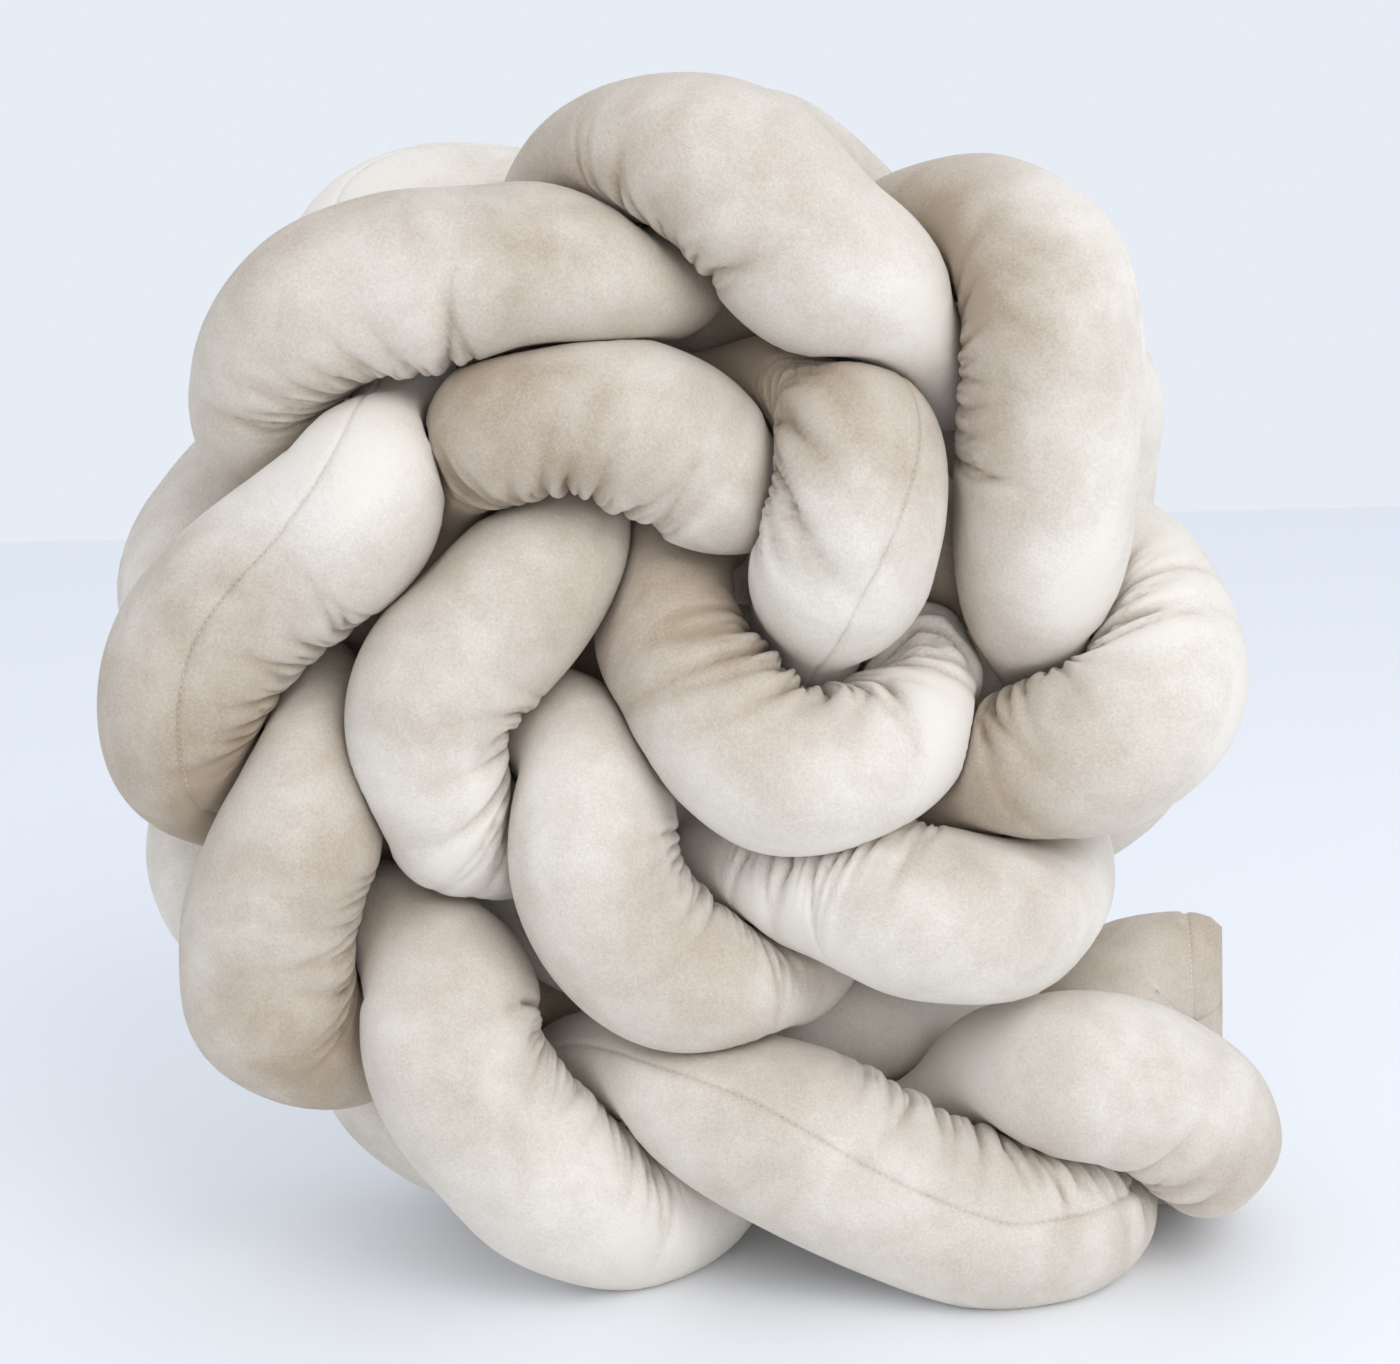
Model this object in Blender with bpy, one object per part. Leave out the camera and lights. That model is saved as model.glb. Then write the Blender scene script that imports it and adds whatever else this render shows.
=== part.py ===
"""A braided crib bumper, rolled up and stood on its edge.

Three long stuffed tubes are braided flat. The braid is rolled into a spiral of about two
turns, which stands on its outer turn like a wheel, with its tail end lying to the right.
X runs to the right, Y away from the front, Z up, and the roll stands on z = 0.
"""
import bpy
import numpy as np
from mathutils.bvhtree import BVHTree

# Driving dimensions, in metres
TUBE_RADIUS = 0.0400      # one stuffed tube, where nothing presses on it
SPREAD = 1.06             # most that a squeezed tube widens where it is free
BRAID_REACH = 0.058       # from the middle of the braid to a tube's axis at either edge
OUT_REACH = 0.022         # the same, where a tube comes out from behind its neighbour
IN_REACH = 0.034          # and where it goes in behind the next one
BRAID_RISE = 0.033        # how far a tube rises and dips behind, through the braid
BACK_SHIFT = (-0.008, -0.018)   # how far the roll's back lies from its front, as (x, z)
END_TAPER = 0.060         # length over which a tube's end narrows to its sewn edge
END_EDGE = 0.10           # thickness of the sewn edge, as a share of the tube's
END_CORNER = 0.024        # length over which the sewn end's corners are rounded
END_WIDTH = 0.80          # width of the sewn edge, as a share of the tube's

# How the tubes press on each other
PRESSED = 0.76            # thickness of a tube between two others, against its diameter
FLOOR_PRESSED = 0.88      # height of an axis over the floor, against the tube's radius
SQUEEZE = 7.0             # how sharp the rim of a pressed flat is
FIRMER = 0.13             # how much more room an outer tube keeps than one that it lies over
FIRMER_REACH = 0.030      # the difference in reach at which it keeps most of that
OWN_SKIP = 3.4            # a tube feels itself from this many radii along its axis
GAP = 0.0009              # from a tube's skin to the half-way surface between two axes
TEST_GAP = 0.0002         # how much a skin is swollen when it is tested for contact
HOLD_MIDDLE = 0.85        # how firmly an axis keeps its place while the tubes make room
HOLD_EDGE = 0.60
HOLD_BACK = 0.10
HOLD_END = 0.50
HOLD_AXES = (1.0, 0.20, 1.0)
ROOM_ROUNDS = 120
PUSH_STEP = 0.45          # share of what two tubes lack that one push makes good
EASE_ROUNDS = 14
EASE_STEP = 0.985
OWN_RINGS = 6             # rings of one tube nearer than this are no contact
FAR = 10.0                # reach of a direction that meets nothing
AREA_ROUNDS = 24          # halvings in the search for a cross-section's free radius
SKIN_SMOOTHING = 3        # rounds of evening out that a skin gets

# How finely the tubes are drawn
RINGS = 130               # cross-sections of one tube
SIDES = 20                # points round a cross-section
AXIS_STEPS = 220          # steps of the axis that the squeezing is worked out with

COLOUR = (0.71, 0.63, 0.54)
ROUGHNESS = 0.9

# One row for each bend of a tube at the front edge, from the tail to the heart of the
# roll: where the tube's axis comes out from behind its neighbour, its middle, and where
# it goes in behind the next one, each as (x, z), and how full the tube is there.
FRONT_BENDS = (
    # name     out x   out z    mid x   mid z    in x    in z   full
    ("tail",    0.218,  0.070,   0.180,  0.100,   0.141,  0.077, 1.02),
    ("foot",    0.188,  0.037,   0.078,  0.055,  -0.021,  0.092, 1.08),
    ("heel",   -0.034,  0.039,  -0.112,  0.106,  -0.132,  0.156, 1.04),
    ("left1",  -0.189,  0.138,  -0.190,  0.203,  -0.182,  0.267, 1.00),
    ("left2",  -0.221,  0.264,  -0.195,  0.337,  -0.132,  0.394, 1.02),
    ("left3",  -0.175,  0.421,  -0.116,  0.464,  -0.027,  0.478, 1.02),
    ("top1",   -0.032,  0.497,   0.028,  0.498,   0.086,  0.450, 1.02),
    ("top2",    0.122,  0.470,   0.152,  0.416,   0.159,  0.325, 1.02),
    ("right",   0.191,  0.310,   0.180,  0.265,   0.133,  0.232, 1.02),
    ("low1",    0.143,  0.194,   0.096,  0.188,   0.044,  0.191, 1.00),
    ("low2",    0.018,  0.151,  -0.047,  0.197,  -0.063,  0.259, 1.00),
    ("inner1", -0.104,  0.224,  -0.116,  0.292,  -0.062,  0.364, 1.00),
    ("inner2", -0.117,  0.370,  -0.052,  0.412,   0.012,  0.386, 1.00),
    ("inner3",  0.045,  0.408,   0.068,  0.376,   0.060,  0.328, 1.02),
    ("heart",   0.098,  0.288,   0.044,  0.253,  -0.014,  0.316, 1.12),
)

# One row for each tube: its name, its first bend, and the points (x, y, z) of its axis
# before that bend and after its last one. The bends between follow every third row above.
TUBES = (
    ("strand_1", 0,
     ((0.150, 0.078, 0.037), (0.212, 0.034, 0.038)),
     ((0.066, 0.010, 0.368), (0.112, 0.018, 0.336), (0.134, 0.026, 0.296))),
    ("strand_2", 1,
     ((0.262, 0.044, 0.106), (0.206, 0.042, 0.090)),
     ((0.045, 0.010, 0.285), (-0.062, 0.028, 0.296))),
    ("strand_3", 2,
     ((0.215, 0.100, 0.037), (0.152, 0.092, 0.060), (0.092, 0.052, 0.098), (0.030, 0.020, 0.078)),
     ((-0.004, -0.006, 0.358), (0.012, 0.032, 0.372))),
)

# The direction in which each tube is sewn flat, at its first and at its last end
EDGE_NORMALS = (
    ((0.0, 0.0, 1.0), (0.0, 1.0, 0.0)),
    ((0.3, 1.0, 0.0), (0.0, 1.0, 0.0)),
    ((0.0, 0.0, 1.0), (1.0, 0.0, 0.0)),
)


def smoothThrough(points, at):
    """Natural cubic spline through points at 0, 1, 2 ..., read at the places in at."""
    count = len(points)
    system = np.eye(count)
    right = np.zeros(points.shape)
    for i in range(1, count - 1):
        system[i, i - 1:i + 2] = (1.0, 4.0, 1.0)
        right[i] = 6.0 * (points[i + 1] - 2.0 * points[i] + points[i - 1])
    second = np.linalg.solve(system, right)
    low = np.clip(np.floor(at).astype(int), 0, count - 2)
    f = (at - low)[:, None]
    g = 1.0 - f
    return (points[low] * g + points[low + 1] * f
            + second[low] * (g ** 3 - g) / 6 + second[low + 1] * (f ** 3 - f) / 6)


def spine():
    """The middle of each front bend, as (x, z)."""
    return np.array([(row[3], row[4]) for row in FRONT_BENDS])


def backBend(middle):
    """Three points of a tube's bend at the back edge, half-way between two front ones."""
    at = np.array([middle - 0.5, middle, middle + 0.5])
    place = smoothThrough(spine(), at)
    ahead = smoothThrough(spine(), np.clip(at + 0.05, 0, len(FRONT_BENDS) - 1))
    behind = smoothThrough(spine(), np.clip(at - 0.05, 0, len(FRONT_BENDS) - 1))
    along = ahead - behind
    along /= np.linalg.norm(along, axis=1)[:, None]
    outward = np.stack([-along[:, 1], along[:, 0]], 1)
    rise = np.array([BRAID_RISE, 0.0, -BRAID_RISE])
    reach = np.array([IN_REACH, BRAID_REACH, IN_REACH])
    place = place + BACK_SHIFT + outward * rise[:, None]
    place[:, 1] = np.maximum(place[:, 1], TUBE_RADIUS * FLOOR_PRESSED)
    return [(place[i, 0], reach[i], place[i, 1]) for i in range(3)]


def evenly(points, steps):
    """The same polyline at even steps."""
    length = np.concatenate([[0], np.cumsum(np.linalg.norm(np.diff(points[:, :3], axis=0), axis=1))])
    even = np.linspace(0, length[-1], steps)
    return np.stack([np.interp(even, length, points[:, i]) for i in range(points.shape[1])], 1)


def tubeAxis(first, before, after, steps):
    """The axis of one tube at even steps, with its fullness and how firmly it is held there."""
    points = [p + (1.0, HOLD_END) for p in before]
    bends = range(first, len(FRONT_BENDS), 3)
    for bend in bends:
        name, ox, oz, mx, mz, ix, iz, full = FRONT_BENDS[bend]
        points.append((ox, -OUT_REACH, oz, full, HOLD_EDGE))
        points.append((mx, -BRAID_REACH, mz, full, HOLD_MIDDLE))
        points.append((ix, -IN_REACH, iz, full, HOLD_EDGE))
        if bend + 3 < len(FRONT_BENDS):
            points += [p + (1.0, HOLD_BACK) for p in backBend(bend + 1.5)]
    points = np.array(points + [p + (1.0, HOLD_END) for p in after])
    fine = smoothThrough(points, np.linspace(0, len(points) - 1, steps * 6))
    return evenly(fine, steps)


def makeRoom(axes):
    """Moves the axes apart until two tubes that press on each other have room side by side."""
    count = len(axes[0])
    start = np.concatenate([axis[:, :3] for axis in axes])
    hold = np.concatenate([axis[:, 4] for axis in axes])[:, None] * np.array(HOLD_AXES)
    full = np.concatenate([axis[:, 3] for axis in axes])
    place = start.copy()
    owner = np.repeat(np.arange(len(axes)), count)
    index = np.tile(np.arange(count), len(axes))
    for _ in range(ROOM_ROUNDS):
        step = np.linalg.norm(place[1] - place[0])
        own = (owner[:, None] == owner[None]) & (abs(index[:, None] - index[None]) * step < OWN_SKIP * TUBE_RADIUS)
        away = place[:, None] - place[None]
        distance = np.linalg.norm(away, axis=2) + 1e-6
        room = 2 * TUBE_RADIUS * PRESSED * 0.5 * (full[:, None] + full[None])
        short = np.where(own, 0.0, np.clip(room - distance, 0, None))
        push = (away / distance[:, :, None] * short[:, :, None]).sum(1)
        touching = np.maximum((short > 0).sum(1), 1)[:, None]
        moved = place + PUSH_STEP * push / touching ** 0.5
        moved += hold * (start - moved)
        for k in range(len(axes)):
            part = moved[k * count:(k + 1) * count] - start[k * count:(k + 1) * count]
            part[1:-1] += 0.5 * (0.5 * (part[:-2] + part[2:]) - part[1:-1])
            moved[k * count:(k + 1) * count] = start[k * count:(k + 1) * count] + part
        moved[:, 2] = np.maximum(moved[:, 2], TUBE_RADIUS * FLOOR_PRESSED * full)
        place = moved
    return [np.column_stack([place[k * count:(k + 1) * count], axis[:, 3]]) for k, axis in enumerate(axes)]


def unit(vectors):
    return vectors / np.linalg.norm(vectors, axis=-1, keepdims=True)


def ringFrames(axis):
    """Two directions across the tube at each point of its axis, turning as little as they can."""
    along = unit(np.gradient(axis, axis=0))
    side = np.cross(along[0], (0.0, 1.0, 0.0))
    sides = np.zeros(axis.shape)
    for i, direction in enumerate(along):
        side = side - direction * side.dot(direction)
        side /= np.linalg.norm(side)
        sides[i] = side
    return along, sides, np.cross(along, sides)


def ringDirections(sides, ups, count):
    angle = 2 * np.pi * np.arange(count) / count
    return sides[:, None] * np.cos(angle)[None, :, None] + ups[:, None] * np.sin(angle)[None, :, None]


def nearestPress(centres, directions, others):
    """How far it is from each centre, in each direction, to where it presses on other tubes.

    Two tubes meet half-way between their axes, or further in on the one that lies under.
    """
    reach = np.full(directions.shape[:2], FAR)
    for i, centre in enumerate(centres):
        away = others[i] - centre
        over = abs(centre[1]) - abs(others[i][:, 1])
        share = 0.5 + FIRMER * np.tanh(over / FIRMER_REACH)
        toward = directions[i] @ away.T
        meets = share * (away ** 2).sum(1)[None] / np.maximum(toward, 1e-9)
        meets[toward <= 1e-4] = FAR
        reach[i] = meets.min(1)
    return reach


def pressedRadii(press, full):
    """Radius in each direction: round, flat where it is pressed, and wider to make up for it."""
    wanted = np.pi * (TUBE_RADIUS * full) ** 2
    low = np.full(len(press), 0.5 * TUBE_RADIUS)
    high = TUBE_RADIUS * full * SPREAD
    for _ in range(AREA_ROUNDS):
        free = 0.5 * (low + high)
        radii = (free[:, None] ** -SQUEEZE + press ** -SQUEEZE) ** (-1 / SQUEEZE)
        area = 0.5 * np.sin(2 * np.pi / press.shape[1]) * (radii * np.roll(radii, 1, axis=1)).sum(1)
        small = area < wanted
        low = np.where(small, free, low)
        high = np.where(small, high, free)
    return radii


def smoothed(radii, rounds):
    for _ in range(rounds):
        radii = 0.5 * radii + 0.25 * (np.roll(radii, 1, axis=1) + np.roll(radii, -1, axis=1))
        radii[1:-1] = 0.5 * radii[1:-1] + 0.25 * (radii[:-2] + radii[2:])
    return radii


def roundedOff(distance, reach, least):
    """A quarter ellipse: least at a tube's end, and 1 at the distance reach from it."""
    share = np.clip(distance / reach, 0, 1)
    return least + (1 - least) * np.sqrt(1 - (1 - share) ** 2)


def endSquash(centres, edge_normals):
    """For each ring: the way it is flattened in near an end, how thick it is left, how wide."""
    along = unit(np.gradient(centres, axis=0))
    at = np.concatenate([[0], np.cumsum(np.linalg.norm(np.diff(centres, axis=0), axis=1))])
    normals = np.zeros(centres.shape)
    left = np.ones(len(centres))
    wide = roundedOff(np.minimum(at, at[-1] - at), END_CORNER, END_WIDTH)
    for distance, normal in ((at, edge_normals[0]), (at[-1] - at, edge_normals[1])):
        near = distance < END_TAPER
        normal = np.array(normal) - along[near] * (along[near] @ np.array(normal))[:, None]
        normals[near] = unit(normal)
        left[near] = roundedOff(distance[near], END_TAPER, END_EDGE)
    return normals, left, wide


def tubeSkin(k, axes, rings, sides):
    """Points of one tube's skin, ring by ring, with the axis points that they stand round."""
    axis = axes[k]
    ring = evenly(axis, rings)
    along, side, up = ringFrames(ring[:, :3])
    directions = ringDirections(side, up, sides)
    length = np.linalg.norm(np.diff(axis[:, :3], axis=0), axis=1).sum()
    ring_at = np.linspace(0, length, rings)
    own_at = np.linspace(0, length, len(axis))
    rest = [other[:, :3] for j, other in enumerate(axes) if j != k]
    others = [np.concatenate(rest + [axis[abs(own_at - at) > OWN_SKIP * TUBE_RADIUS][:, :3]]) for at in ring_at]
    press = nearestPress(ring[:, :3], directions, others) - GAP
    radii = pressedRadii(press, ring[:, 3])
    radii = np.minimum(smoothed(radii, SKIN_SMOOTHING), press)
    return ring[:, :3], directions, radii, EDGE_NORMALS[k]


def skinPoints(centres, directions, radii, edge_normals):
    normals, left, wide = endSquash(centres, edge_normals)
    offsets = directions * (radii * wide[:, None])[:, :, None]
    depth = (offsets * normals[:, None]).sum(2)
    offsets -= ((1 - left)[:, None] * depth)[:, :, None] * normals[:, None]
    points = centres[:, None] + offsets
    points[:, :, 2] = np.maximum(points[:, :, 2], 0.0)
    return points


def skinFaces(rings, sides):
    """Quads between the rings, and a fan on each end, from a point at its middle."""
    faces = []
    for i in range(rings - 1):
        for j in range(sides):
            n = (j + 1) % sides
            faces.append((i * sides + j, i * sides + n, (i + 1) * sides + n, (i + 1) * sides + j))
    first, last = rings * sides, rings * sides + 1
    for j in range(sides):
        n = (j + 1) % sides
        faces.append((first, n, j))
        faces.append((last, (rings - 1) * sides + j, (rings - 1) * sides + n))
    return faces


def skinVertices(points):
    ends = np.stack([points[0].mean(0), points[-1].mean(0)])
    return np.concatenate([points.reshape(-1, 3), ends])


def easeApart(skins):
    """Draws the skins in, a little at a time, wherever two of them still meet."""
    faces = skinFaces(RINGS, SIDES)
    for _ in range(EASE_ROUNDS):
        trees = []
        for centres, directions, radii, edge_normals in skins:
            swollen = skinVertices(skinPoints(centres, directions, radii + TEST_GAP, edge_normals))
            trees.append(BVHTree.FromPolygons(swollen.tolist(), faces))
        met = 0
        for a in range(len(skins)):
            for b in range(len(skins)):
                for face, other in trees[a].overlap(trees[b]):
                    if a == b and abs(faces[face][0] - faces[other][0]) // SIDES < OWN_RINGS:
                        continue
                    met += 1
                    for vertex in faces[face]:
                        if vertex < RINGS * SIDES:
                            skins[a][2][vertex // SIDES, vertex % SIDES] *= EASE_STEP
        if not met:
            break
    return skins


def velvet():
    material = bpy.data.materials.new("velvet")
    material.use_nodes = True
    shader = material.node_tree.nodes["Principled BSDF"]
    shader.inputs["Base Color"].default_value = (*COLOUR, 1.0)
    shader.inputs["Roughness"].default_value = ROUGHNESS
    shader.inputs["Metallic"].default_value = 0.0
    return material


def addTube(name, skin, collection):
    points = skinPoints(*skin)
    mesh = bpy.data.meshes.new(name)
    mesh.from_pydata(skinVertices(points).tolist(), [], skinFaces(*points.shape[:2]))
    mesh.materials.append(velvet())
    mesh.shade_smooth()
    tube = bpy.data.objects.new(name, mesh)
    collection.objects.link(tube)
    return tube


def centred(skins):
    """The same skins, moved so that the roll's box stands over the origin."""
    points = np.concatenate([skinVertices(skinPoints(*skin)) for skin in skins])
    shift = 0.5 * (points.min(0) + points.max(0))
    shift[2] = 0.0
    return [(centres - shift, *rest) for centres, *rest in skins]


def main():
    for thing in list(bpy.data.objects):
        bpy.data.objects.remove(thing, do_unlink=True)
    collection = bpy.data.collections.new("crib_bumper")
    bpy.context.scene.collection.children.link(collection)
    axes = makeRoom([tubeAxis(first, before, after, AXIS_STEPS) for name, first, before, after in TUBES])
    skins = easeApart([tubeSkin(k, axes, RINGS, SIDES) for k in range(len(axes))])
    for tube, skin in zip(TUBES, centred(skins)):
        addTube(tube[0], skin, collection)


main()
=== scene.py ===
import math
import bmesh
import bpy
import numpy as np
from mathutils import Matrix, Vector


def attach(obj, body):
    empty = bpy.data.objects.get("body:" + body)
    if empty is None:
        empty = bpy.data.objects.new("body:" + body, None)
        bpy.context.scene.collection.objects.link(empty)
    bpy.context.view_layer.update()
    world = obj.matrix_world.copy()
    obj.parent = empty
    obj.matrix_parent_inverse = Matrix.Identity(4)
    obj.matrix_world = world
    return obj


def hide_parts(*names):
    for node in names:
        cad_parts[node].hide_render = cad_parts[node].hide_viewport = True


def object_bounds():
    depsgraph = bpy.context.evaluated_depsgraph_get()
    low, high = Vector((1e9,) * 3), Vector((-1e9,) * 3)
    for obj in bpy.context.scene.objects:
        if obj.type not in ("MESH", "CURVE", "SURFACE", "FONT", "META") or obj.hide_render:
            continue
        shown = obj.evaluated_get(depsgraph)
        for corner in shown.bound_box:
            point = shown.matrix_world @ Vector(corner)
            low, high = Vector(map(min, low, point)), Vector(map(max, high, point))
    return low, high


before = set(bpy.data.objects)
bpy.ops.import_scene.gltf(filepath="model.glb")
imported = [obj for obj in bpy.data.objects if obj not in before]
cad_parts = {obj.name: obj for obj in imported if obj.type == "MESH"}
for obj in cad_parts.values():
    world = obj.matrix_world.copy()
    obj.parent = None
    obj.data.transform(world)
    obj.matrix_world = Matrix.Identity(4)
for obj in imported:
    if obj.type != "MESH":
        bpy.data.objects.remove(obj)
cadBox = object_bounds()

# All lengths in metres. The three stuffed tubes take the same routes as their solids.
braid = {
    "radius": 0.0400,          # one stuffed tube where nothing presses on it
    "spread": 1.06,            # most that a squeezed tube widens where it is free
    "reach": 0.058,            # middle of the braid to a tube's axis at either edge
    "outReach": 0.022,         # the same where a tube comes out from behind its neighbour
    "inReach": 0.034,          # and where it goes in behind the next one
    "rise": 0.033,             # how far a tube rises and dips behind, through the braid
    "backShift": (-0.008, -0.018),  # how far the back lies from the front, as (x, z)
    "pressed": 0.76,           # thickness between two others, against the diameter
    "floorPressed": 0.88,      # height of an axis over the floor, against the radius
    "squeeze": 7.0,            # how sharp the rim of a pressed flat is
    "firmer": 0.13,            # how much more room an outer tube keeps than one it lies over
    "firmerReach": 0.030,      # the difference in reach at which it keeps most of that
    "ownSkip": 3.4,            # a tube feels itself from this many radii along its axis
    "gap": 0.0003,             # from a skin to the half-way surface between two axes
    "endTaper": 0.060,         # length over which an end narrows to its sewn edge
    "endEdge": 0.10,           # thickness of that edge, as a share of the tube's
    "endCorner": 0.024,        # length over which that edge's corners are rounded
    "endWidth": 0.80,          # width of that edge, as a share of the tube's
    "holdMiddle": 0.85,        # how firmly an axis keeps its place as the tubes make room
    "holdEdge": 0.60,
    "holdBack": 0.10,
    "holdEnd": 0.50,
    "holdAxes": (1.0, 0.20, 1.0),   # the same for x, y and z
    "roomRounds": 120,         # rounds in which the tubes make room
    "pushStep": 0.45,          # share of what two tubes lack that one push makes good
    "evenStep": 0.5,           # share of a shift's unevenness that one round takes out
    "tangentStep": 0.05,       # part of a bend over which the spine's direction is taken
    "axisSteps": 220,          # points of an axis
    "fineSteps": 6,            # and steps of its spline for each of them
}

# One row for each bend at the front, from the tail to the heart of the roll: where the
# axis comes out from behind its neighbour, its middle, and where it goes in, as (x, z).
frontBends = (
    # name     out x   out z    mid x   mid z    in x    in z   full
    ("tail",    0.218,  0.070,   0.180,  0.100,   0.141,  0.077, 1.02),
    ("foot",    0.188,  0.037,   0.078,  0.055,  -0.021,  0.092, 1.08),
    ("heel",   -0.034,  0.039,  -0.112,  0.106,  -0.132,  0.156, 1.04),
    ("left1",  -0.189,  0.138,  -0.190,  0.203,  -0.182,  0.267, 1.00),
    ("left2",  -0.221,  0.264,  -0.195,  0.337,  -0.132,  0.394, 1.02),
    ("left3",  -0.175,  0.421,  -0.116,  0.464,  -0.027,  0.478, 1.02),
    ("top1",   -0.032,  0.497,   0.028,  0.498,   0.086,  0.450, 1.02),
    ("top2",    0.122,  0.470,   0.152,  0.416,   0.159,  0.325, 1.02),
    ("right",   0.191,  0.310,   0.180,  0.265,   0.133,  0.232, 1.02),
    ("low1",    0.143,  0.194,   0.096,  0.188,   0.044,  0.191, 1.00),
    ("low2",    0.018,  0.151,  -0.047,  0.197,  -0.063,  0.259, 1.00),
    ("inner1", -0.104,  0.224,  -0.116,  0.292,  -0.062,  0.364, 1.00),
    ("inner2", -0.117,  0.370,  -0.052,  0.412,   0.012,  0.386, 1.00),
    ("inner3",  0.045,  0.408,   0.068,  0.376,   0.060,  0.328, 1.02),
    ("heart",   0.098,  0.288,   0.044,  0.253,  -0.014,  0.316, 1.12),
)

# One row for each tube: its name, its first bend, the points (x, y, z) of its axis before
# that bend and after its last one, and the way in which each end is sewn flat.
strands = (
    ("strand_1", 0,
     ((0.150, 0.078, 0.037), (0.212, 0.034, 0.038)),
     ((0.066, 0.010, 0.368), (0.112, 0.018, 0.336), (0.134, 0.026, 0.296)),
     ((0.0, 0.0, 1.0), (0.0, 1.0, 0.0))),
    ("strand_2", 1,
     ((0.262, 0.044, 0.106), (0.206, 0.042, 0.090)),
     ((0.045, 0.010, 0.285), (-0.062, 0.028, 0.296)),
     ((0.3, 1.0, 0.0), (0.0, 1.0, 0.0))),
    ("strand_3", 2,
     ((0.215, 0.100, 0.037), (0.152, 0.092, 0.060), (0.092, 0.052, 0.098), (0.030, 0.020, 0.078)),
     ((-0.004, -0.006, 0.358), (0.012, 0.032, 0.372)),
     ((0.0, 0.0, 1.0), (1.0, 0.0, 0.0))),
)
rollCentre = (0.045, 0.300)    # the heart of the roll, as (x, z)


def unit(vectors):
    return vectors / np.linalg.norm(vectors, axis=-1, keepdims=True)


def distances(points):  # distance of each point from the first, along the line
    return np.concatenate([[0], np.cumsum(np.linalg.norm(np.diff(points[:, :3], axis=0), axis=1))])


def smoothThrough(points, at):  # natural cubic spline through points at 0, 1, 2 ...
    count = len(points)
    system = np.eye(count)
    right = np.zeros(points.shape)
    for i in range(1, count - 1):
        system[i, i - 1:i + 2] = (1.0, 4.0, 1.0)
        right[i] = 6.0 * (points[i + 1] - 2.0 * points[i] + points[i - 1])
    second = np.linalg.solve(system, right)
    low = np.clip(np.floor(at).astype(int), 0, count - 2)
    f = (at - low)[:, None]
    g = 1.0 - f
    return (points[low] * g + points[low + 1] * f
            + second[low] * (g ** 3 - g) / 6 + second[low + 1] * (f ** 3 - f) / 6)


def evenly(points, steps):  # the same polyline at even steps
    length = distances(points)
    even = np.linspace(0, length[-1], steps)
    return np.stack([np.interp(even, length, points[:, i]) for i in range(points.shape[1])], 1)


def backBend(middle):  # three points of a bend at the back, half-way between two front ones
    spine = np.array([(row[3], row[4]) for row in frontBends])   # the middles, as (x, z)
    at = np.array([middle - 0.5, middle, middle + 0.5])
    place = smoothThrough(spine, at)
    step, last = braid["tangentStep"], len(frontBends) - 1
    ahead = smoothThrough(spine, np.clip(at + step, 0, last))
    behind = smoothThrough(spine, np.clip(at - step, 0, last))
    along = unit(ahead - behind)
    outward = np.stack([-along[:, 1], along[:, 0]], 1)
    rise = np.array([braid["rise"], 0.0, -braid["rise"]])
    reach = np.array([braid["inReach"], braid["reach"], braid["inReach"]])
    place = place + braid["backShift"] + outward * rise[:, None]
    place[:, 1] = np.maximum(place[:, 1], braid["radius"] * braid["floorPressed"])
    return [(place[i, 0], reach[i], place[i, 1]) for i in range(3)]


def tubeBends(first):  # each bend of a tube: name, fullness, three points, and three behind it
    for bend in range(first, len(frontBends), len(strands)):
        name, outX, outZ, midX, midZ, inX, inZ, full = frontBends[bend]
        points = ((outX, -braid["outReach"], outZ), (midX, -braid["reach"], midZ),
                  (inX, -braid["inReach"], inZ))
        last = bend + len(strands) >= len(frontBends)
        yield name, full, points, () if last else backBend(bend + len(strands) / 2)


def tubeAxis(first, before, after):  # x, y, z, fullness and hold along one tube
    holds = (braid["holdEdge"], braid["holdMiddle"], braid["holdEdge"])
    points = [p + (1.0, braid["holdEnd"]) for p in before]
    for name, full, front, behind in tubeBends(first):
        points += [p + (full, hold) for p, hold in zip(front, holds)]
        points += [p + (1.0, braid["holdBack"]) for p in behind]
    points = np.array(points + [p + (1.0, braid["holdEnd"]) for p in after])
    steps = braid["axisSteps"]
    fine = np.linspace(0, len(points) - 1, steps * braid["fineSteps"])
    return evenly(smoothThrough(points, fine), steps)


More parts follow.
